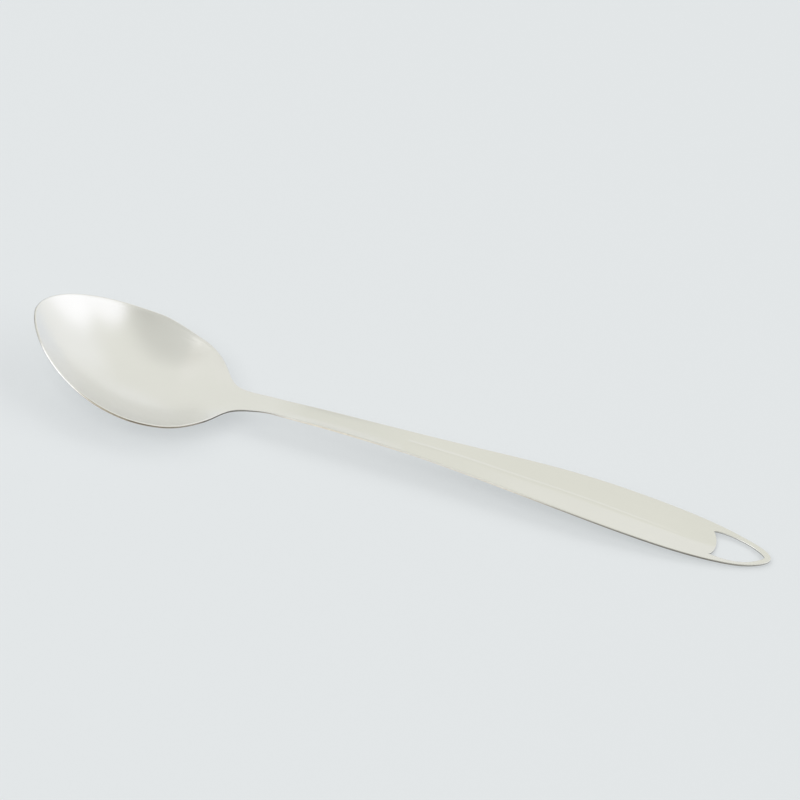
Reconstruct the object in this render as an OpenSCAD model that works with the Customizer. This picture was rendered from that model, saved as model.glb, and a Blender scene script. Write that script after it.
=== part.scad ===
// Serving spoon, pressed in one piece from stainless steel sheet.
// It lies as it would on a table: the bowl's lowest point and the fold of the handle
// both touch the plane z = 0, with the inside of the bowl facing up.
// X runs along the spoon, from the tip of the bowl to the end of the handle.

/* [Overall] */
// Length of the upper face, from the tip of the bowl to the end of the handle
spoon_length = 330; // [300:1:380]
// Thickness of the steel sheet
sheet = 1.15; // [0.8:0.05:1.8]

/* [Bowl] */
// Width of the bowl at its widest place
bowl_width = 61.4; // [50:0.1:70]
// Length of the bowl from its tip to its widest place
tip_reach = 50; // [44:0.5:56]
// Length from the bowl's widest place to the waist of the neck
shoulder_reach = 59; // [54:0.5:66]
// Distance from the tip of the bowl to its lowest point
low_reach = 56; // [50:0.5:62]
// Height of the bowl's tip above its lowest point
tip_rise = 32; // [24:0.5:38]
// Radius of the curve across the bottom of the bowl
cross_radius = 34; // [30:0.5:45]
// Half width of the small flat at the lowest point, on which the bowl stands
foot_half = 3.2; // [2.6:0.1:5]

/* [Neck] */
// Width of the neck at its waist
neck_width = 8.9; // [7:0.1:12]
// Height of the neck above the lowest point of the bowl
neck_rise = 11.7; // [9:0.1:15]
// Depth of the channel along the neck, where it is deepest
channel_depth = 1.2; // [0.8:0.1:2.4]
// Distance from the waist to the line where the folded part of the handle begins
press_reach = 56; // [40:1:80]
// Length over which the channel flattens at that line
press_step = 3; // [1.5:0.5:5]

/* [Handle] */
// Width of the handle at its widest place
handle_width = 23.9; // [19:0.1:28]
// Distance from the end of the handle to its widest place
widest_reach = 64; // [55:1:75]
// Length over which the handle flares out from the neck to its full width
flare_length = 81; // [70:1:90]
// Height of the handle's end above the table, under the sheet
end_lift = 1.4; // [0.8:0.1:3]

/* [Hanging hole] */
// Length of the hole and its rim, from the corners of the hole to the end of the handle
hole_reach = 26.5; // [22:0.5:30]
// Width of the hole at its widest place
hole_width = 13.4; // [10:0.1:14]
// Width of the rim at the end of the handle
end_rim = 2.8; // [2:0.1:4]
// Distance from the corners of the hole to its widest place
hole_shoulder = 4.5; // [3:0.5:6]
// How far the sheet bulges into the hole between its two corners
tongue_bulge = 2.45; // [1:0.05:4]

/* [Hidden] */

steel_colour = [0.84, 0.84, 0.81];

// The sheet's cut edge stands square to the sheet, so at the tip the lower face reaches further
tip_slope = 2 * tip_rise / low_reach;
tip_overhang = sheet * tip_slope / norm([1, tip_slope]);

// Places along the spoon, with the middle of the whole length at x = 0
tip_x = (tip_overhang - spoon_length) / 2;
end_x = tip_x + spoon_length;
widest_bowl_x = tip_x + tip_reach;
low_x = tip_x + low_reach;
waist_x = widest_bowl_x + shoulder_reach;
press_x = waist_x + press_reach;
widest_handle_x = end_x - widest_reach;
corner_x = end_x - hole_reach;
hole_wide_x = corner_x + hole_shoulder;
hole_end_x = end_x - end_rim;

// The tip of the bowl, the nose of the handle and the far part of the hole are superellipses:
// each has a power along the spoon and a root across it
tip_power = 2.07;
tip_root = 0.558;
nose_power = 2.42;
nose_root = 0.541;
hole_power = 1.95;
hole_root = 0.72;
hole_back_share = 2.7;

// The bowl narrows to the neck through a wide fillet: share of the shoulder's length,
// share of the difference between the two half widths
shoulder_shares = [
    [0, 1], [0.12, 0.967], [0.32, 0.827], [0.425, 0.702], [0.475, 0.615], [0.525, 0.51], [0.575, 0.37],
    [0.625, 0.218], [0.68, 0.112], [0.73, 0.064], [0.83, 0.021], [1, 0]
];

// Rise of the bowl's bottom: share of the length from its lowest point to the waist,
// share of the neck's height
rise_shares = [
    [0, 0], [0.11, 0.025], [0.23, 0.12], [0.35, 0.32], [0.47, 0.55], [0.64, 0.71], [0.8, 0.87], [1, 1]
];

// The handle arches over the table: share of the length from the waist to the end,
// share of the difference in height between the two
arch_shares = [
    [0, 1], [0.07, 1.05], [0.165, 1.077], [0.25, 1.058], [0.4, 0.962], [0.54, 0.822], [0.615, 0.703],
    [0.69, 0.547], [0.76, 0.384], [0.83, 0.225], [0.87, 0.139], [0.905, 0.066], [0.95, -0.008], [1, 0]
];

// Slope of the two sides of the fold, as a share of the slope at its lowest point:
// from the press line to that point, and from there round the hole to the end
fold_shares = [
    [0, 0], [0.17, 0], [0.28, 0.33], [0.4, 0.58], [0.55, 0.57], [0.66, 0.7], [0.8, 0.83], [0.91, 1.06],
    [0.96, 1.09], [1, 1]
];
rim_fold_shares = [[0, 1], [0.13, 1.12], [0.38, 1.2], [0.63, 0.8], [0.79, 0.36], [1, 0]];

// Numbers of cells: along the tip, the shoulder, the neck, the press line and the handle,
// then across the rim of the hole, across the sheet between the corners, and round the rim
tip_cells = 14;
shoulder_cells = 28;
neck_cells = 12;
press_cells = 3;
handle_cells = 28;
rim_cells = 4;
tongue_cells = 12;
round_cells = 36;
// Rows of the handle that bend to meet the bulge
bend_cells = 4;
// Step for the slope of the surface, as a share of the sheet's thickness
slope_step_share = 0.05;

// Slope of a monotone curve at the inner point k of a table
function inner_slope(t, k) =
    let (a = (t[k][1] - t[k - 1][1]) / (t[k][0] - t[k - 1][0]),
         b = (t[k + 1][1] - t[k][1]) / (t[k + 1][0] - t[k][0]))
    a * b <= 0 ? 0 : 2 * a * b / (a + b);

function table_slope(t, k) = k == 0 || k == len(t) - 1 ? 0 : inner_slope(t, k);

// Smooth curve through the points of a table, level at both ends
function curve(t, u, k = 0) =
    u <= t[0][0] ? t[0][1]
    : u >= t[len(t) - 1][0] ? t[len(t) - 1][1]
    : u > t[k + 1][0] ? curve(t, u, k + 1)
    : let (h = t[k + 1][0] - t[k][0],
           v = (u - t[k][0]) / h,
           m0 = h * table_slope(t, k),
           m1 = h * table_slope(t, k + 1))
      (1 + 2 * v) * pow(1 - v, 2) * t[k][1] + v * pow(1 - v, 2) * m0
      + v * v * (3 - 2 * v) * t[k + 1][1] + v * v * (v - 1) * m1;

function unit(v) = min(1, max(0, v));
function oval(v, power, root) = pow(1 - pow(unit(v), power), root);

// Half width of the spoon's outline at x
function half_width(x) =
    x < widest_bowl_x ? bowl_width / 2 * oval((widest_bowl_x - x) / tip_reach, tip_power, tip_root)
    : x < waist_x ? neck_width / 2
        + (bowl_width - neck_width) / 2 * curve(shoulder_shares, (x - widest_bowl_x) / shoulder_reach)
    : x < widest_handle_x ? flare_half(x)
    : handle_width / 2 * oval((x - widest_handle_x) / widest_reach, nose_power, nose_root);

// The flare is a bell curve, eased so that it starts at the neck's own width
function bell(x) = exp(-pow((widest_handle_x - x) / flare_length, 2));
function flare_half(x) =
    neck_width / 2 + (handle_width - neck_width) / 2 * (bell(x) - bell(waist_x)) / (1 - bell(waist_x));

// Half width of the hanging hole at x
function hole_half(x) =
    x < hole_wide_x ? hole_width / 2 * oval((hole_wide_x - x) / (hole_shoulder * hole_back_share), 2, 1 / 2)
    : hole_width / 2 * oval((x - hole_wide_x) / (hole_end_x - hole_wide_x), hole_power, hole_root);

// Height of the upper surface along the middle of the bowl
function bowl_floor(x) =
    x < low_x ? sheet + tip_rise * pow((low_x - x) / low_reach, 2)
    : sheet + neck_rise * curve(rise_shares, (x - low_x) / (waist_x - low_x));

function cross_rise(y) = y * y / (2 * cross_radius);

// The whole bowl sits lower by the curve's rise over the flat, which stays on the table
foot_rise = cross_rise(foot_half);

waist_edge = bowl_floor(waist_x) + cross_rise(neck_width / 2) - foot_rise;
end_edge = sheet + end_lift;

// Height of the handle's edges
function edge_height(x) =
    end_edge + (waist_edge - end_edge) * curve(arch_shares, (x - waist_x) / (end_x - waist_x));

// The fold is lowest at the tip of the tongue, where the handle rests on the table
rest_x = corner_x + tongue_bulge;
rest_slope = (edge_height(rest_x) - sheet) / half_width(rest_x);

// Slope of the two sides of the fold
function fold(x) =
    rest_slope * (x < rest_x ? curve(fold_shares, (x - press_x) / (rest_x - press_x))
                  : curve(rim_fold_shares, (x - rest_x) / (end_x - rest_x)));

// Depth of the channel: share of the way from the waist to the press line,
// share of the depth that it gains over the bowl's own curve at the waist
channel_shares = [
    [0, 0], [0.1, 0.2], [0.2, 0.68], [0.32, 0.97], [0.5, 1], [0.68, 0.92], [0.85, 0.55], [1, 0.25]
];
function channel(x) =
    let (start = cross_rise(neck_width / 2),
         grown = start + (channel_depth - start) * curve(channel_shares, (x - waist_x) / press_reach),
         v = unit((x - press_x) / press_step))
    grown * (1 - v * v * (3 - 2 * v));

// Height of the spoon's upper surface at x, y
function height(x, y) =
    x < waist_x ? max(sheet, bowl_floor(x) + cross_rise(y) - foot_rise)
    : let (w = half_width(x), dip = channel(x))
      edge_height(x) - fold(x) * (w - abs(y)) - (dip > 0 ? dip * (1 - pow(y / w, 2)) : 0);

// Unit normal of the upper surface; on the fold itself it stands upright across
function normal(x, y) =
    let (s = sheet * slope_step_share,
         x0 = max(tip_x, x - s),
         x1 = min(end_x, x + s),
         zx = (height(x1, y) - height(x0, y)) / (x1 - x0),
         zy = (height(x, y + s) - height(x, y - s)) / (2 * s),
         n = [-zx, -zy, 1])
    n / norm(n);

function upper(p) = [p.x, p.y, height(p.x, p.y)];
function lower(p) = upper(p) - sheet * normal(p.x, p.y);

// Places of the rows along the spoon, without the tip itself
function spread(a, b, n) = [for (k = [1 : n]) a + (b - a) * k / n];
rows_x = concat(
    [for (k = [1 : tip_cells]) tip_x + tip_reach * (1 - cos(90 * k / tip_cells))],
    spread(widest_bowl_x, waist_x, shoulder_cells),
    spread(waist_x, press_x, neck_cells),
    spread(press_x, press_x + press_step, press_cells),
    spread(press_x + press_step, corner_x, handle_cells));
row_count = len(rows_x);
across = 2 * rim_cells + tongue_cells;

// Places across a row, from the near edge at -1 to the far edge at 1
corner_share = hole_half(corner_x) / half_width(corner_x);
places = concat(
    [for (k = [0 : rim_cells - 1]) -1 + (1 - corner_share) * k / rim_cells],
    [for (k = [0 : tongue_cells]) corner_share * (2 * k / tongue_cells - 1)],
    [for (k = [1 : rim_cells]) corner_share + (1 - corner_share) * k / rim_cells]);

// The last rows bend forward between the two corners, into the arc of the tongue
tongue_radius = (pow(hole_half(corner_x), 2) + pow(tongue_bulge, 2)) / (2 * tongue_bulge);
function arc_reach(y) =
    abs(y) >= hole_half(corner_x) ? 0
    : sqrt(pow(tongue_radius, 2) - y * y) - (tongue_radius - tongue_bulge);

function row_point(i, j) =
    let (y = places[j] * half_width(rows_x[i]),
         bend = unit((i - (row_count - 1 - bend_cells)) / bend_cells))
    [rows_x[i] + bend * arc_reach(y), y];

// The rim runs from the far corner round the end of the handle to the near corner;
// v is 0 at a corner and 1 at the end
function rim_point(k, r) =
    let (side = k <= round_cells / 2 ? 1 : -1,
         v = 1 - abs(1 - 2 * k / round_cells),
         run = 1 - pow(1 - v, 2),
         outer_x = corner_x + (end_x - corner_x) * run,
         inner_x = corner_x + (hole_end_x - corner_x) * run,
         outer = [outer_x, v == 1 ? 0 : side * half_width(outer_x)],
         inner = [inner_x, v == 1 ? 0 : side * hole_half(inner_x)])
    inner + (outer - inner) * r / rim_cells;

plan = concat(
    [[tip_x, 0]],
    [for (i = [0 : row_count - 1]) for (j = [0 : across]) row_point(i, j)],
    [for (k = [1 : round_cells - 1]) for (r = [0 : rim_cells]) rim_point(k, r)]);
side_count = len(plan);

// Number of a point in the plan: row 0 is the tip, and the rim's two ends lie in the last row
function row_index(i, j) = i == 0 ? 0 : 1 + (i - 1) * (across + 1) + j;
function rim_index(k, r) =
    k == 0 ? row_index(row_count, across - rim_cells + r)
    : k == round_cells ? row_index(row_count, rim_cells - r)
    : 1 + row_count * (across + 1) + (k - 1) * (rim_cells + 1) + r;

// The corners of a cell, as steps along and across, and the two triangles of a four-cornered face
corners = [[0, 0], [0, 1], [1, 1], [1, 0]];
function two_triangles(f) = [[f[0], f[1], f[2]], [f[0], f[2], f[3]]];

sheet_faces = concat(
    [for (j = [0 : across - 1]) [0, row_index(1, j + 1), row_index(1, j)]],
    [for (i = [1 : row_count - 1]) for (j = [0 : across - 1])
        each two_triangles([for (q = corners) row_index(i + q[0], j + q[1])])],
    [for (k = [0 : round_cells - 1]) for (r = [0 : rim_cells - 1])
        each two_triangles([for (q = corners) rim_index(k + q[0], r + q[1])])]);

outline = concat(
    [0],
    [for (i = [1 : row_count]) row_index(i, across)],
    [for (k = [1 : round_cells - 1]) rim_index(k, rim_cells)],
    [for (i = [row_count : -1 : 1]) row_index(i, 0)]);
hole_edge = concat(
    [for (j = [rim_cells : across - rim_cells]) row_index(row_count, j)],
    [for (k = [1 : round_cells - 1]) rim_index(k, 0)]);

function wall(loop, a, b) =
    two_triangles([loop[a], loop[b], loop[b] + side_count, loop[a] + side_count]);
function next(loop, k) = (k + 1) % len(loop);

module pressed_sheet() {
    polyhedron(
        points = concat([for (p = plan) upper(p)], [for (p = plan) lower(p)]),
        faces = concat(
            sheet_faces,
            [for (f = sheet_faces) [f[2] + side_count, f[1] + side_count, f[0] + side_count]],
            [for (k = [0 : len(outline) - 1]) each wall(outline, next(outline, k), k)],
            [for (k = [0 : len(hole_edge) - 1]) each wall(hole_edge, k, next(hole_edge, k))]));
}

module spoon() {
    color(steel_colour) pressed_sheet();
}

spoon();
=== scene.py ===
"""A serving spoon pressed from one sheet of stainless steel, on a pale floor in soft light."""

import logging
import math
from collections.abc import Callable
from dataclasses import dataclass, field, replace
from enum import IntEnum

import bmesh
import bpy
from mathutils import Matrix, Vector


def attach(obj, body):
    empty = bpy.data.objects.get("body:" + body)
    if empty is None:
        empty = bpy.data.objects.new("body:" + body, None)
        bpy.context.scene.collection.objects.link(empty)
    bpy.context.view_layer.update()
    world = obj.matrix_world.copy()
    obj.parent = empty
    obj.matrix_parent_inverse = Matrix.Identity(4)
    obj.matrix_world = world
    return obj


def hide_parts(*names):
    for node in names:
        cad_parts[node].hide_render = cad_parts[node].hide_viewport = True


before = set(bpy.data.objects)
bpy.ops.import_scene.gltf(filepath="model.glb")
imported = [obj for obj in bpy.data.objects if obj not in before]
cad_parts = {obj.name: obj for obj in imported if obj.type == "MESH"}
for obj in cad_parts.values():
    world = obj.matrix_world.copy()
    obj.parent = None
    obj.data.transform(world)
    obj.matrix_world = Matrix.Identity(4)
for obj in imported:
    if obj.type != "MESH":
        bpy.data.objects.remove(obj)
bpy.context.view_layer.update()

MM = 0.001
Table = tuple[tuple[float, float], ...]
Triple = tuple[float, float, float]
Colour = tuple[float, float, float]
Zones = tuple[tuple[float, Colour], ...]
Settings = dict[str, object]

log = logging.getLogger("spoon")


def clamped(value: float) -> float:
    """The value, kept between 0 and 1."""
    return min(1.0, max(0.0, value))


def eased(value: float) -> float:
    """A smooth step from 0 to 1."""
    v = clamped(value)
    return v * v * (3 - 2 * v)


def direction(azimuth: float, elevation: float) -> Vector:
    """Unit vector; in degrees, azimuth 0 is away from the camera and 90 to the right."""
    turn, rise = math.radians(azimuth), math.radians(elevation)
    return Vector((math.sin(turn) * math.cos(rise), math.cos(turn) * math.cos(rise), math.sin(rise)))


def oval(share: float, power: float, root: float) -> float:
    """Height of a superellipse's quarter.

    Args:
        share: how far along the quarter, from 0 at its top to 1 at its foot.
        power: fullness along the quarter.
        root: fullness across it.

    Returns:
        The height, 1 at the top and 0 at the foot.
    """
    return (1 - clamped(share) ** power) ** root


class SmoothCurve:
    """A curve through given points, level at both ends and smooth in its bend too."""

    def __init__(self, points: Table) -> None:
        """Solves the slopes at the points.

        Args:
            points: pairs of a place and a height, in order.
        """
        self.u = [p[0] for p in points]
        self.v = [p[1] for p in points]
        count = len(points)
        step = [b - a for a, b in zip(self.u, self.u[1:])]
        rise = [b - a for a, b in zip(self.v, self.v[1:])]
        slopes = [0.0] * count
        carry = [0.0] * count
        for k in range(1, count - 1):
            pivot = 2 * (step[k - 1] + step[k]) - step[k] * carry[k - 1]
            pull = 3 * (step[k] * rise[k - 1] / step[k - 1] + step[k - 1] * rise[k] / step[k])
            carry[k] = step[k - 1] / pivot
            slopes[k] = (pull - step[k] * slopes[k - 1]) / pivot
        for k in range(count - 2, 0, -1):
            slopes[k] -= carry[k] * slopes[k + 1]
        self.slopes = slopes

    def __call__(self, u: float) -> float:
        """Gives the curve's height, which stays level outside its ends.

        Args:
            u: place along the curve.

        Returns:
            The height there.
        """
        if u <= self.u[0]:
            return self.v[0]
        if u >= self.u[-1]:
            return self.v[-1]
        k = max(i for i, start in enumerate(self.u) if start <= u)
        h = self.u[k + 1] - self.u[k]
        t = (u - self.u[k]) / h
        return (
            (1 + 2 * t) * (1 - t) ** 2 * self.v[k]
            + t * (1 - t) ** 2 * h * self.slopes[k]
            + t * t * (3 - 2 * t) * self.v[k + 1]
            + t * t * (t - 1) * h * self.slopes[k + 1]
        )


# Shares of a stretch against shares of the size that changes along it
SHOULDER_SHARES: Table = (
    (0, 1), (0.12, 0.967), (0.32, 0.827), (0.425, 0.702), (0.475, 0.615), (0.525, 0.51),
    (0.575, 0.37), (0.625, 0.218), (0.68, 0.112), (0.73, 0.064), (0.83, 0.021), (1, 0),
)
RISE_SHARES: Table = (
    (0, 0), (0.11, 0.025), (0.23, 0.12), (0.35, 0.32), (0.47, 0.54), (0.64, 0.73), (0.8, 0.88), (1, 1),
)
ARCH_SHARES: Table = (
    (0, 1), (0.07, 1.05), (0.165, 1.077), (0.25, 1.058), (0.4, 0.962), (0.54, 0.822),
    (0.615, 0.703), (0.69, 0.547), (0.76, 0.384), (0.83, 0.225), (0.87, 0.139), (0.905, 0.066),
    (0.95, -0.008), (1, 0),
)
FOLD_SHARES: Table = (
    (0, 0), (0.17, 0.02), (0.28, 0.31), (0.4, 0.54), (0.55, 0.6), (0.66, 0.69), (0.8, 0.84),
    (0.91, 1.05), (0.96, 1.08), (1, 1),
)
RIM_FOLD_SHARES: Table = ((0, 1), (0.13, 1.12), (0.38, 1.2), (0.63, 0.8), (0.79, 0.36), (1, 0))
CHANNEL_SHARES: Table = (
    (0, 0), (0.1, 0.2), (0.2, 0.68), (0.32, 0.97), (0.5, 1), (0.68, 0.92), (0.85, 0.55), (1, 0.25),
)


@dataclass
class SpoonShape:
    """The spoon's upper face: its outline and its height over the table."""

    length: float = 330 * MM
    sheet: float = 1.15 * MM
    bowl_width: float = 61.4 * MM
    tip_reach: float = 50 * MM
    shoulder_reach: float = 59 * MM
    low_reach: float = 56 * MM
    tip_rise: float = 32 * MM
    cross_radius: float = 34 * MM
    neck_width: float = 8.9 * MM
    neck_rise: float = 11.7 * MM
    channel_depth: float = 1.2 * MM
    press_reach: float = 56 * MM
    press_step: float = 3 * MM
    handle_width: float = 23.9 * MM
    widest_reach: float = 64 * MM
    flare_length: float = 81 * MM
    end_lift: float = 1.4 * MM
    hole_reach: float = 26.5 * MM
    hole_width: float = 13.4 * MM
    end_rim: float = 2.8 * MM
    hole_shoulder: float = 4.5 * MM
    tongue_bulge: float = 2.45 * MM
    fold_radius: float = 0.7 * MM
    bead_height: float = 0.32 * MM
    bead_half: float = 0.7 * MM
    bead_reach: float = 170 * MM

    tip_power: float = 2.07
    tip_root: float = 0.558
    nose_power: float = 2.42
    nose_root: float = 0.541
    hole_power: float = 1.95
    hole_root: float = 0.72
    hole_back_share: float = 2.7

    def __post_init__(self) -> None:
        """Works out the places along the spoon and its curves."""
        slope = 2 * self.tip_rise / self.low_reach
        overhang = self.sheet * slope / math.hypot(1, slope)
        self.tip_x = (overhang - self.length) / 2
        self.end_x = self.tip_x + self.length
        self.widest_bowl_x = self.tip_x + self.tip_reach
        self.low_x = self.tip_x + self.low_reach
        self.waist_x = self.widest_bowl_x + self.shoulder_reach
        self.press_x = self.waist_x + self.press_reach
        self.widest_handle_x = self.end_x - self.widest_reach
        self.corner_x = self.end_x - self.hole_reach
        self.hole_wide_x = self.corner_x + self.hole_shoulder
        self.hole_end_x = self.end_x - self.end_rim
        self.rest_x = self.corner_x + self.tongue_bulge
        self.shoulder = SmoothCurve(SHOULDER_SHARES)
        self.rise = SmoothCurve(RISE_SHARES)
        self.arch = SmoothCurve(ARCH_SHARES)
        self.fold_curve = SmoothCurve(FOLD_SHARES)
        self.rim_fold_curve = SmoothCurve(RIM_FOLD_SHARES)
        self.channel_curve = SmoothCurve(CHANNEL_SHARES)
        self.waist_edge = self.bowl_floor(self.waist_x) + self.cross_rise(self.neck_width / 2)
        self.end_edge = self.sheet + self.end_lift
        self.rest_slope = (self.edge_height(self.rest_x) - self.sheet) / self.half_width(self.rest_x)

    def half_width(self, x: float) -> float:
        """Works out the outline: tip, shoulders, flare and nose.

        Args:
            x: place along the spoon.

        Returns:
            The half width there.
        """
        neck = self.neck_width / 2
        if x < self.widest_bowl_x:
            share = (self.widest_bowl_x - x) / self.tip_reach
            return self.bowl_width / 2 * oval(share, self.tip_power, self.tip_root)
        if x < self.waist_x:
            share = (x - self.widest_bowl_x) / self.shoulder_reach
            return neck + (self.bowl_width / 2 - neck) * self.shoulder(share)
        if x < self.widest_handle_x:
            foot = self.bell(self.waist_x)
            return neck + (self.handle_width / 2 - neck) * (self.bell(x) - foot) / (1 - foot)
        share = (x - self.widest_handle_x) / self.widest_reach
        return self.handle_width / 2 * oval(share, self.nose_power, self.nose_root)

    def bell(self, x: float) -> float:
        """The bell curve along which the handle flares."""
        return math.exp(-(((self.widest_handle_x - x) / self.flare_length) ** 2))

    def hole_half(self, x: float) -> float:
        """Works out the hanging hole's outline.

        Args:
            x: place along the spoon.

        Returns:
            The hole's half width there.
        """
        if x < self.hole_wide_x:
            reach = self.hole_shoulder * self.hole_back_share
            return self.hole_width / 2 * oval((self.hole_wide_x - x) / reach, 2, 1 / 2)
        share = (x - self.hole_wide_x) / (self.hole_end_x - self.hole_wide_x)
        return self.hole_width / 2 * oval(share, self.hole_power, self.hole_root)

    def bowl_floor(self, x: float) -> float:
        """Works out the middle line of the bowl, from its tip to the waist of the neck.

        Args:
            x: place along the spoon.

        Returns:
            The upper face's height there.
        """
        if x < self.low_x:
            return self.sheet + self.tip_rise * ((self.low_x - x) / self.low_reach) ** 2
        return self.sheet + self.neck_rise * self.rise((x - self.low_x) / (self.waist_x - self.low_x))

    def cross_rise(self, y: float) -> float:
        """Rise of the bowl's wall at y above its middle."""
        return y * y / (2 * self.cross_radius)

    def edge_height(self, x: float) -> float:
        """Height of the handle's edges at x."""
        share = (x - self.waist_x) / (self.end_x - self.waist_x)
        return self.end_edge + (self.waist_edge - self.end_edge) * self.arch(share)

    def fold_slope(self, x: float) -> float:
        """Works out how steep the fold is.

        Args:
            x: place along the spoon.

        Returns:
            The slope of its two sides there.
        """
        if x < self.rest_x:
            return self.rest_slope * self.fold_curve((x - self.press_x) / (self.rest_x - self.press_x))
        return self.rest_slope * self.rim_fold_curve((x - self.rest_x) / (self.end_x - self.rest_x))

    def channel(self, x: float) -> float:
        """Works out the channel along the neck.

        Args:
            x: place along the spoon.

        Returns:
            Its depth there, which fades out past the press line.
        """
        start = self.cross_rise(self.neck_width / 2)
        grown = self.channel_curve((x - self.waist_x) / self.press_reach)
        depth = start + (self.channel_depth - start) * grown
        return depth * (1 - eased((x - self.press_x) / self.press_step))

    def bead(self, x: float, y: float) -> float:
        """Works out the fine bead that runs along the fold.

        Args:
            x: place along the spoon.
            y: place across the spoon.

        Returns:
            Its height over the fold there.
        """
        start = eased((x - self.press_x) / self.press_step)
        end = 1 - eased((x - self.press_x) / self.bead_reach * 2 - 1)
        return self.bead_height * start * end * math.exp(-((y / self.bead_half) ** 2))

    def height(self, x: float, y: float) -> float:
        """Works out the upper face.

        Args:
            x: place along the spoon.
            y: place across the spoon.

        Returns:
            Its height over the table there.
        """
        if x < self.waist_x:
            return self.bowl_floor(x) + self.cross_rise(y)
        w = max(self.half_width(x), self.sheet)
        drop = math.hypot(w, self.fold_radius) - math.hypot(y, self.fold_radius)
        dip = self.channel(x) * (1 - (y / w) ** 2)
        return self.edge_height(x) - self.fold_slope(x) * drop - dip + self.bead(x, y)


class FinishSlot(IntEnum):
    """The finish that a face of the sheet has."""

    SATIN = 0
    CUT_EDGE = 1


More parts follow.
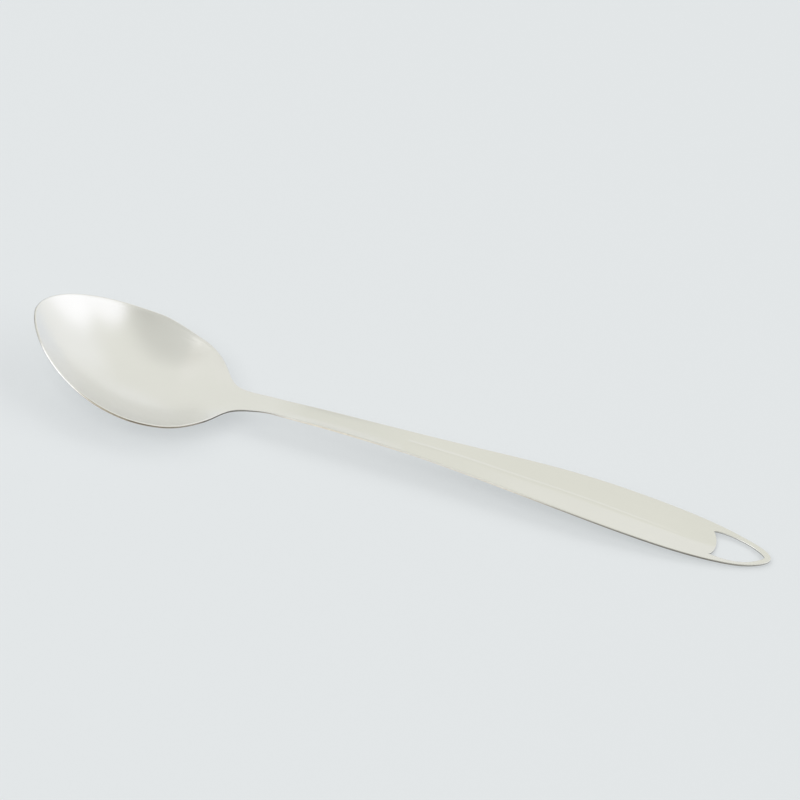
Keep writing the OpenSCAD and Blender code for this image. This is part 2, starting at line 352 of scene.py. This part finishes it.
@dataclass
class SpoonMesh:
    """The pressed sheet as a mesh: two grids laid on the shape, thickened and rounded."""

    shape: SpoonShape = field(default_factory=SpoonShape)
    tip_rows: int = 44
    shoulder_rows: int = 64
    neck_rows: int = 44
    press_rows: int = 8
    handle_rows: int = 108
    bend_rows: int = 9
    round_rows: int = 88
    rim_columns: int = 8
    half_columns: int = 14
    middle_crowding: float = 1.6
    edge_round: float = 0.32 * MM
    edge_steps: int = 4
    sharp_angle: float = math.radians(60)
    weld: float = 0.004 * MM

    def __post_init__(self) -> None:
        """Lays out the rows along the spoon and the columns across it."""
        self.flat = self.inside_rounding()
        s = self.flat
        tip = [s.tip_x + s.tip_reach * (1 - math.cos(math.pi / 2 * k / self.tip_rows))
               for k in range(self.tip_rows + 1)]
        after_press = s.press_x + s.press_step
        self.rows = (
            tip
            + self.spread(s.widest_bowl_x, s.waist_x, self.shoulder_rows)
            + self.spread(s.waist_x, s.press_x, self.neck_rows)
            + self.spread(s.press_x, after_press, self.press_rows)
            + self.spread(after_press, s.corner_x, self.handle_rows)
        )
        self.corner_share = s.hole_half(s.corner_x) / s.half_width(s.corner_x)
        inner = [self.corner_share * (k / self.half_columns) ** self.middle_crowding
                 for k in range(self.half_columns + 1)]
        outer = self.spread(self.corner_share, 1.0, self.rim_columns)
        self.columns = [-v for v in reversed(inner[1:] + outer)] + inner + outer
        radius_parts = s.hole_half(s.corner_x) ** 2 + s.tongue_bulge ** 2
        self.tongue_radius = radius_parts / (2 * s.tongue_bulge)

    def inside_rounding(self) -> SpoonShape:
        """Draws the outline in by the rounding of its edges, and widens the hole by as much.

        Returns:
            The narrower shape.
        """
        s, r = self.shape, self.edge_round
        return replace(
            s, length=s.length - 2 * r, bowl_width=s.bowl_width - 2 * r,
            tip_reach=s.tip_reach - r, neck_width=s.neck_width - 2 * r,
            handle_width=s.handle_width - 2 * r, widest_reach=s.widest_reach - r,
            hole_width=s.hole_width + 2 * r, hole_shoulder=s.hole_shoulder + r,
            end_rim=s.end_rim - 2 * r,
        )

    @staticmethod
    def spread(start: float, end: float, count: int) -> list[float]:
        """Even steps from start to end, without the start itself."""
        return [start + (end - start) * k / count for k in range(1, count + 1)]

    def arc_reach(self, y: float) -> float:
        """Works out how far the sheet's edge bulges into the hole.

        Args:
            y: place across the spoon.

        Returns:
            The reach there.
        """
        s = self.flat
        if abs(y) >= s.hole_half(s.corner_x):
            return 0.0
        return math.sqrt(self.tongue_radius ** 2 - y * y) - (self.tongue_radius - s.tongue_bulge)

    def sheet_point(self, i: int, j: int) -> Vector:
        """Places a point of the sheet, from the bowl's tip to the hole.

        Args:
            i: its row, along the spoon.
            j: its column, across it.

        Returns:
            Its place on the upper face.
        """
        x = self.rows[i]
        y = self.columns[j] * self.flat.half_width(x)
        bend = eased((i - (len(self.rows) - 1 - self.bend_rows)) / self.bend_rows)
        x += bend * self.arc_reach(y)
        return Vector((x, y, self.shape.height(x, y)))

    def rim_point(self, k: int, r: int) -> Vector:
        """Places a point of the hole's rim.

        Args:
            k: its row, round the rim from corner to corner.
            r: its column, from the hole to the edge.

        Returns:
            Its place on the upper face.
        """
        s = self.flat
        side = 1 if k <= self.round_rows / 2 else -1
        v = 1 - abs(1 - 2 * k / self.round_rows)
        run = 1 - (1 - v) ** 2
        outer_x = s.corner_x + (s.end_x - s.corner_x) * run
        inner_x = s.corner_x + (s.hole_end_x - s.corner_x) * run
        outer = Vector((outer_x, side * s.half_width(outer_x), 0))
        inner = Vector((inner_x, side * s.hole_half(inner_x), 0))
        p = inner.lerp(outer, r / self.rim_columns)
        return Vector((p.x, p.y, self.shape.height(p.x, p.y)))

    @staticmethod
    def lay_grid(
        bm: bmesh.types.BMesh, rows: int, columns: int, place: Callable[[int, int], Vector],
    ) -> None:
        """Adds a grid and moves each of its points to its place.

        Args:
            bm: the mesh to add to.
            rows: cells along the grid's first direction.
            columns: cells along its second direction.
            place: gives the place of row i, column j.
        """
        grid = bmesh.ops.create_grid(bm, x_segments=rows, y_segments=columns, size=0.5)
        for vert in grid["verts"]:
            i = round((vert.co.x + 0.5) * rows)
            j = round((vert.co.y + 0.5) * columns)
            vert.co = place(i, j)

    def build(self, name: str) -> bpy.types.Object:
        """Builds the spoon.

        Args:
            name: the new object's name.

        Returns:
            The finished object.
        """
        bm = bmesh.new()
        self.lay_grid(bm, len(self.rows) - 1, len(self.columns) - 1, self.sheet_point)
        self.lay_grid(bm, self.round_rows, self.rim_columns, self.rim_point)
        bmesh.ops.remove_doubles(bm, verts=bm.verts[:], dist=self.weld)
        bmesh.ops.recalc_face_normals(bm, faces=bm.faces[:])
        if sum(f.normal.z for f in bm.faces) < 0:
            bmesh.ops.reverse_faces(bm, faces=bm.faces[:])
        bmesh.ops.solidify(bm, geom=bm.faces[:], thickness=self.shape.sheet)
        self.mark_cut(bm)
        self.round_edges(bm)
        mesh = bpy.data.meshes.new(name)
        bm.to_mesh(mesh)
        bm.free()
        mesh.shade_smooth()
        spoon = bpy.data.objects.new(name, mesh)
        bpy.context.scene.collection.objects.link(spoon)
        return spoon

    def mark_cut(self, bm: bmesh.types.BMesh) -> None:
        """Gives the cut faces their own finish: the narrow ones between two sharp edges.

        Args:
            bm: the thickened sheet.
        """
        bm.normal_update()
        for face in bm.faces:
            sharp = [e for e in face.edges if e.calc_face_angle(0.0) > self.sharp_angle]
            face.material_index = FinishSlot.CUT_EDGE if len(sharp) >= 2 else FinishSlot.SATIN

    def round_edges(self, bm: bmesh.types.BMesh) -> None:
        """Bulges the cut faces and rounds their corners, all the way round and in the hole.

        The short edges across the sheet, its posts, are cut into steps. Each new vertex then moves
        onto a quarter round that starts at its own end of the post.

        Args:
            bm: the thickened sheet, with its cut faces marked.
        """
        vectors, floats = bm.verts.layers.float_vector, bm.verts.layers.float
        top, foot = vectors.new("top"), vectors.new("foot")
        share = floats.new("share")
        cut = FinishSlot.CUT_EDGE
        posts = [e for e in bm.edges if all(f.material_index == cut for f in e.link_faces)]
        for post in posts:
            lower, upper = sorted(post.verts, key=lambda v: v.co.z)
            lower[share], upper[share] = 0.0, 1.0
            for vert in post.verts:
                vert[top], vert[foot] = upper.co, lower.co
        last = 2 * self.edge_steps + 1
        bmesh.ops.subdivide_edges(bm, edges=posts, cuts=last - 1, use_grid_fill=True)
        bm.normal_update()
        for vert in bm.verts:
            step = round(vert[share] * last)
            if 0 < step < last:
                turn = math.pi / 2 * min(step, last - step) / self.edge_steps
                inward = (vert[top] - vert[foot]).normalized()
                inward *= self.edge_round * (1 - math.cos(turn))
                start = vert[foot] + inward if step <= self.edge_steps else vert[top] - inward
                vert.co = start + vert.normal * self.edge_round * math.sin(turn)
        for face in bm.faces:
            lowest = min(round(v[share] * last) for v in face.verts)
            if face.material_index == cut and lowest > self.edge_steps:
                face.material_index = FinishSlot.SATIN
        for name in ("top", "foot"):
            vectors.remove(vectors[name])
        floats.remove(floats["share"])

    def dress(self, spoon: bpy.types.Object) -> None:
        """Gives the spoon its finishes, in the order of their slots."""
        finishes = {FinishSlot.SATIN: SteelFinish(), FinishSlot.CUT_EDGE: CutEdgeWithPaintedShade()}
        for slot in FinishSlot:
            spoon.data.materials.append(finishes[slot].material())


class Tools:
    """Short helpers for node trees."""

    def __init__(self, tree: bpy.types.NodeTree) -> None:
        """Keeps the tree that the nodes go into."""
        self.tree = tree

    def node(self, kind: str, settings: Settings | None = None, **inputs: object) -> bpy.types.Node:
        """Adds a node.

        Args:
            kind: the node's type, without its ShaderNode prefix.
            settings: the node's own properties.
            inputs: values or sockets for its inputs, with spaces as underscores.

        Returns:
            The new node.
        """
        made = self.tree.nodes.new("ShaderNode" + kind)
        for name, value in (settings or {}).items():
            setattr(made, name, value)
        for name, value in inputs.items():
            label = name.replace("_", " ")
            socket = next(s for s in made.inputs if s.name == label and s.enabled)
            if isinstance(value, bpy.types.NodeSocket):
                self.tree.links.new(value, socket)
            else:
                socket.default_value = value
        return made

    def result(
        self, kind: str, settings: Settings | None = None, **inputs: object,
    ) -> bpy.types.NodeSocket:
        """Adds a node as above and gives its first working output."""
        made = self.node(kind, settings, **inputs)
        return next(s for s in made.outputs if s.enabled)

    def along(self, place: bpy.types.NodeSocket, tones_and_painted_shade: Zones) -> bpy.types.NodeSocket:
        """Blends the colours of the stops along the spoon.

        Args:
            place: socket with the place on the spoon.
            tones_and_painted_shade: places along the spoon with the colour at each, in order.

        Returns:
            Socket with the colour.
        """
        start, end = tones_and_painted_shade[0][0], tones_and_painted_shade[-1][0]
        split = self.node("SeparateXYZ", Vector=place)
        share = self.result("MapRange", Value=split.outputs["X"], From_Min=start, From_Max=end)
        ramp = self.node("ValToRGB", Fac=share)
        stops = ramp.color_ramp.elements
        for x, colour in tones_and_painted_shade[1:-1]:
            stops.new((x - start) / (end - start)).color = (*colour, 1)
        stops[0].color = (*tones_and_painted_shade[0][1], 1)
        stops[-1].color = (*tones_and_painted_shade[-1][1], 1)
        return ramp.outputs["Color"]


@dataclass(frozen=True)
class SteelFinish:
    """Satin stainless steel with a fine grain along the spoon, and painted shade that darkens it along
    the neck and, less, along the handle.
    """

    # Colours along the spoon: the darker stops on the neck and the handle are painted shade.
    tones_and_painted_shade: Zones = (
        (-58 * MM, (0.925, 0.925, 0.93)),
        (-42 * MM, (0.875, 0.875, 0.863)),
        (-16 * MM, (0.875, 0.875, 0.863)),
        (8 * MM, (0.902, 0.898, 0.879)),
    )
    roughness: float = 0.22
    roughness_swing: float = 0.04
    brushed: float = 0.75
    darkest_cloud: float = 0.98
    noise_low: float = 0.3
    noise_high: float = 0.7
    grain_scale: Triple = (28.0, 2600.0, 2600.0)
    grain_detail: float = 2.0
    cloud_scale: Triple = (14.0, 60.0, 60.0)
    cloud_detail: float = 3.0
    grain_depth: float = 0.0012 * MM

    def material(self) -> bpy.types.Material:
        """Builds the material.

        Returns:
            The new material.
        """
        made = bpy.data.materials.new("satin_steel")
        made.use_nodes = True
        tools = Tools(made.node_tree)
        shader = made.node_tree.nodes["Principled BSDF"]
        link = made.node_tree.links.new
        place = tools.node("TexCoord").outputs["Object"]
        grain_place = tools.node("Mapping", Vector=place, Scale=self.grain_scale)
        cloud_place = tools.node("Mapping", Vector=place, Scale=self.cloud_scale)
        grain = tools.node(
            "TexNoise", Vector=grain_place.outputs[0], Scale=1.0, Detail=self.grain_detail,
        )
        clouds = tools.node(
            "TexNoise", Vector=cloud_place.outputs[0], Scale=1.0, Detail=self.cloud_detail,
        )
        tone = tools.node(
            "MapRange", Value=clouds.outputs["Fac"], From_Min=self.noise_low,
            From_Max=self.noise_high, To_Min=self.darkest_cloud, To_Max=1.0,
        )
        tones_and_painted_shade = tools.along(place, self.tones_and_painted_shade)
        tint = tools.node("VectorMath", {"operation": "SCALE"}, Vector=tones_and_painted_shade, Scale=tone.outputs[0])
        rough = tools.node(
            "MapRange", Value=grain.outputs["Fac"], From_Min=self.noise_low,
            From_Max=self.noise_high, To_Min=self.roughness - self.roughness_swing,
            To_Max=self.roughness + self.roughness_swing,
        )
        bump = tools.node(
            "Bump", Height=grain.outputs["Fac"], Strength=1.0, Distance=self.grain_depth,
        )
        link(tint.outputs[0], shader.inputs["Base Color"])
        link(rough.outputs[0], shader.inputs["Roughness"])
        link(bump.outputs[0], shader.inputs["Normal"])
        across = tools.result("CombineXYZ", X=0.0, Y=1.0, Z=0.0)
        link(across, shader.inputs["Tangent"])
        shader.inputs["Anisotropic"].default_value = self.brushed
        shader.inputs["Metallic"].default_value = 1
        return made


@dataclass(frozen=True)
class CutEdgeWithPaintedShade:
    """The sheared edge of the sheet, whose tone changes along the spoon.

    It is lightest along the neck and the start of the handle. Its darker colours at the bowl's
    shoulders and towards the handle's end are painted shade: dark reflections painted on the edge.
    """

    # Colours along the edge: the darker stops are painted shade, dark reflections painted on the edge.
    tones_and_painted_shade: Zones = (
        (-142 * MM, (0.68, 0.68, 0.68)),
        (-128 * MM, (0.63, 0.57, 0.49)),
        (-93 * MM, (0.65, 0.61, 0.54)),
        (-83 * MM, (0.22, 0.2, 0.18)),
        (-65 * MM, (0.24, 0.22, 0.19)),
        (-50 * MM, (0.97, 0.9, 0.8)),
        (50 * MM, (0.97, 0.89, 0.76)),
        (74 * MM, (0.5, 0.46, 0.4)),
        (88 * MM, (0.36, 0.33, 0.28)),
        (110 * MM, (0.26, 0.24, 0.21)),
        (142 * MM, (0.26, 0.24, 0.21)),
        (156 * MM, (0.4, 0.38, 0.34)),
    )
    roughness: float = 0.22
    noise_low: float = 0.35
    noise_high: float = 0.65
    darkest_streak: float = 0.92
    lightest_streak: float = 1.06
    streak_scale: Triple = (900.0, 900.0, 250.0)
    streak_detail: float = 2.0
    streak_depth: float = 0.0015 * MM

    def material(self) -> bpy.types.Material:
        """Builds the material.

        Returns:
            The new material.
        """
        made = bpy.data.materials.new("cut_edge_painted_shade")
        made.use_nodes = True
        tools = Tools(made.node_tree)
        shader = made.node_tree.nodes["Principled BSDF"]
        link = made.node_tree.links.new
        place = tools.node("TexCoord").outputs["Object"]
        streak_place = tools.node("Mapping", Vector=place, Scale=self.streak_scale)
        streaks = tools.node(
            "TexNoise", Vector=streak_place.outputs[0], Scale=1.0, Detail=self.streak_detail,
        )
        tone = tools.node(
            "MapRange", Value=streaks.outputs["Fac"], From_Min=self.noise_low,
            From_Max=self.noise_high, To_Min=self.darkest_streak, To_Max=self.lightest_streak,
        )
        tones_and_painted_shade = tools.along(place, self.tones_and_painted_shade)
        tint = tools.node("VectorMath", {"operation": "SCALE"}, Vector=tones_and_painted_shade, Scale=tone.outputs[0])
        bump = tools.node(
            "Bump", Height=streaks.outputs["Fac"], Strength=1.0, Distance=self.streak_depth,
        )
        link(tint.outputs[0], shader.inputs["Base Color"])
        link(bump.outputs[0], shader.inputs["Normal"])
        shader.inputs["Metallic"].default_value = 1
        shader.inputs["Roughness"].default_value = self.roughness
        return made


@dataclass(frozen=True)
class SoftLamp:
    """A square soft lamp that faces the spoon's middle; the steel mirrors the world instead."""

    name: str
    azimuth: float
    elevation: float
    level: float
    distance: float = 3.0
    size: float = 2.0

    def build(self) -> bpy.types.Object:
        """Hangs the lamp; at a level of 1 it alone would show a floor's colour as it is written.

        Returns:
            The lamp.
        """
        out = direction(self.azimuth, self.elevation)
        radiance = self.level * math.pi * self.distance ** 2 / (self.size ** 2 * out.z)
        lamp_data = bpy.data.lights.new(self.name, "AREA")
        lamp_data.shape = "SQUARE"
        lamp_data.size = self.size
        lamp_data.energy = radiance * self.size ** 2 * math.pi
        lamp = bpy.data.objects.new(self.name, lamp_data)
        facing = out.to_track_quat("Z", "Y").to_matrix().to_4x4()
        lamp.matrix_world = Matrix.Translation(self.distance * out) @ facing
        lamp.visible_camera = False
        lamp.visible_glossy = False
        bpy.context.scene.collection.objects.link(lamp)
        return lamp


@dataclass(frozen=True)
class Glow:
    """A round, soft-edged patch of the surroundings that the steel mirrors.

    Its middle lies at the azimuth and elevation, the full light reaches out to the core's angle and
    fades to nothing at the rim's, all in degrees.
    """

    name: str
    azimuth: float
    elevation: float
    core: float
    rim: float
    light: Colour

    def over(
        self, tools: Tools, way: bpy.types.NodeSocket, below: bpy.types.NodeSocket,
    ) -> bpy.types.NodeSocket:
        """Lays the patch over what is there already.

        Args:
            tools: helper of the world's node tree.
            way: socket with the direction looked in.
            below: socket with the light without this patch.

        Returns:
            Socket with the light with the patch.
        """
        settings = {"operation": "DOT_PRODUCT", "label": self.name}
        facing = tools.node("VectorMath", settings, Vector=way)
        facing.inputs[1].default_value = direction(self.azimuth, self.elevation)
        share = tools.result(
            "MapRange", {"interpolation_type": "SMOOTHSTEP"}, Value=facing.outputs["Value"],
            From_Min=math.cos(math.radians(self.rim)), From_Max=math.cos(math.radians(self.core)),
        )
        return tools.result("Mix", {"data_type": "RGBA"}, Factor=share, A=below, B=(*self.light, 1))


@dataclass
class Studio:
    """The pale floor, the lamps and the light all round."""

    floor_colour: Colour = (0.79, 0.82, 0.83)
    floor_size: float = 6.0
    floor_roughness: float = 0.9
    floor_specular: float = 0.2
    surround: Colour = (0.806, 0.809, 0.736)
    fill: float = 0.35
    floor_glow: float = 0.51
    glows: tuple[Glow, ...] = (
        Glow("ground", 0, -90, 86, 95, (0.48, 0.48, 0.46)),
        Glow("far_right_wall", 62, 8, 12, 44, (0.89, 0.895, 0.85)),
        Glow("far_wall_foot", 355, 2, 8, 22, (0.86, 0.875, 0.87)),
        Glow("far_wall", 8, 19, 6, 25, (0.86, 0.863, 0.815)),
        Glow("left_ceiling", 265, 60, 6, 18, (0.84, 0.838, 0.773)),
        Glow("near_ceiling", 188, 48, 22, 44, (0.65, 0.653, 0.594)),
        Glow("near_left_ceiling", 242, 53, 3, 15, (0.71, 0.705, 0.635)),
        Glow("near_left_corner", 221, 45, 3, 12, (0.76, 0.76, 0.695)),
        Glow("softbox_top", 118, 27, 14, 24, (1.14, 1.14, 1.13)),
        Glow("softbox_foot", 91, 10, 18, 28, (1.12, 1.12, 1.11)),
        Glow("gap_by_softbox", 137, 2, 14, 24, (0.1, 0.09, 0.08)),
        Glow("left_stand", 276, 14, 4, 12, (0.5, 0.48, 0.45)),
        Glow("dark_near_wall", 160, 20, 10, 22, (0.2, 0.18, 0.155)),
        Glow("white_card", 212, 20, 18, 26, (1.7, 1.7, 1.67)),
    )
    lamps: tuple[SoftLamp, ...] = (
        SoftLamp("key_front_left", 225, 55, 0.293),
        SoftLamp("far_right", 45, 55, 0.135),
        SoftLamp("far_left", 315, 55, 0.13),
        SoftLamp("side_right", 90, 40, 0.116),
    )

    def build(self) -> None:
        """Makes the floor, the world and the lamps."""
        self.floor()
        self.world()
        for lamp in self.lamps:
            lamp.build()

    def floor(self) -> None:
        """Lays the floor, which glows to the camera and in metal, so that the shadow stays light."""
        bm = bmesh.new()
        bmesh.ops.create_grid(bm, x_segments=1, y_segments=1, size=self.floor_size / 2)
        mesh = bpy.data.meshes.new("floor")
        bm.to_mesh(mesh)
        bm.free()
        floor = bpy.data.objects.new("floor", mesh)
        bpy.context.scene.collection.objects.link(floor)
        paint = bpy.data.materials.new("floor_paint")
        paint.use_nodes = True
        shader = paint.node_tree.nodes["Principled BSDF"]
        shader.inputs["Base Color"].default_value = (*self.floor_colour, 1)
        shader.inputs["Roughness"].default_value = self.floor_roughness
        shader.inputs["Specular IOR Level"].default_value = self.floor_specular
        tools = Tools(paint.node_tree)
        link = paint.node_tree.links.new
        path = tools.node("LightPath")
        seen = tools.result("Math", {"operation": "ADD"}, Value=path.outputs["Is Camera Ray"])
        link(path.outputs["Is Glossy Ray"], seen.node.inputs[1])
        share = tools.result("Math", {"operation": "MULTIPLY"}, Value=seen)
        share.node.inputs[1].default_value = self.floor_glow
        glow = tools.result("Emission", Color=(*self.floor_colour, 1))
        both = tools.node("MixShader")
        link(share, both.inputs[0])
        link(shader.outputs[0], both.inputs[1])
        link(glow, both.inputs[2])
        link(both.outputs[0], paint.node_tree.nodes["Material Output"].inputs["Surface"])
        mesh.materials.append(paint)

    def world(self) -> None:
        """Gives the steel its surroundings to mirror, and the floor a plain even light."""
        world = bpy.data.worlds.new("studio_light")
        world.use_nodes = True
        tools = Tools(world.node_tree)
        background = world.node_tree.nodes["Background"]
        way = tools.node("TexCoord").outputs["Generated"]
        mirrored = tools.result("RGB")
        mirrored.default_value = (*self.surround, 1)
        for glow in self.glows:
            mirrored = glow.over(tools, way, mirrored)
        path = tools.node("LightPath")
        in_metal = tools.result(
            "Mix", {"data_type": "RGBA"}, Factor=path.outputs["Is Glossy Ray"],
            A=(self.fill, self.fill, self.fill, 1), B=mirrored,
        )
        seen = tools.result(
            "Mix", {"data_type": "RGBA"}, Factor=path.outputs["Is Camera Ray"],
            A=in_metal, B=(*self.floor_colour, 1),
        )
        world.node_tree.links.new(seen, background.inputs["Color"])
        background.inputs["Strength"].default_value = 1.0
        bpy.context.scene.world = world


@dataclass
class PhotoCamera:
    """A long lens, from the near side and above, slightly turned and rolled."""

    distance: float = 3000 * MM
    elevation: float = math.radians(50)
    turn: float = math.radians(2.53)
    roll: float = math.radians(13.4)
    lens: float = 314.95
    sensor: float = 36.0
    nearest: float = 100 * MM
    farthest: float = 100000 * MM
    aim: Triple = (-5.74 * MM, 19.04 * MM, 16.19 * MM)
    pivot: Triple = (0.49 * MM, 0, 0)

    def build(self) -> None:
        """Places the camera and makes it the scene's own."""
        out = Vector((
            math.sin(self.turn) * math.cos(self.elevation),
            -math.cos(self.turn) * math.cos(self.elevation),
            math.sin(self.elevation),
        ))
        place = Vector(self.pivot) + self.distance * out
        look = Vector(self.aim) - place
        camera_data = bpy.data.cameras.new("camera")
        camera_data.lens = self.lens
        camera_data.sensor_width = self.sensor
        camera_data.clip_start = self.nearest
        camera_data.clip_end = self.farthest
        camera = bpy.data.objects.new("camera", camera_data)
        facing = look.to_track_quat("-Z", "Y").to_matrix().to_4x4()
        rolled = facing @ Matrix.Rotation(self.roll, 4, "Z")
        camera.matrix_world = Matrix.Translation(place) @ rolled
        bpy.context.scene.collection.objects.link(camera)
        bpy.context.scene.camera = camera


def main() -> None:
    """Builds the camera, the studio and the spoon."""
    logging.basicConfig(level=logging.INFO)
    bpy.context.scene.view_settings.view_transform = "Standard"
    PhotoCamera().build()
    Studio().build()
    sheet = SpoonMesh()
    spoon = sheet.build("pressed_spoon")
    sheet.dress(spoon)
    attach(spoon, "root")
    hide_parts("spoon")
    log.info("%s: %d faces", spoon.name, len(spoon.data.polygons))


if __name__ == "__main__":
    main()
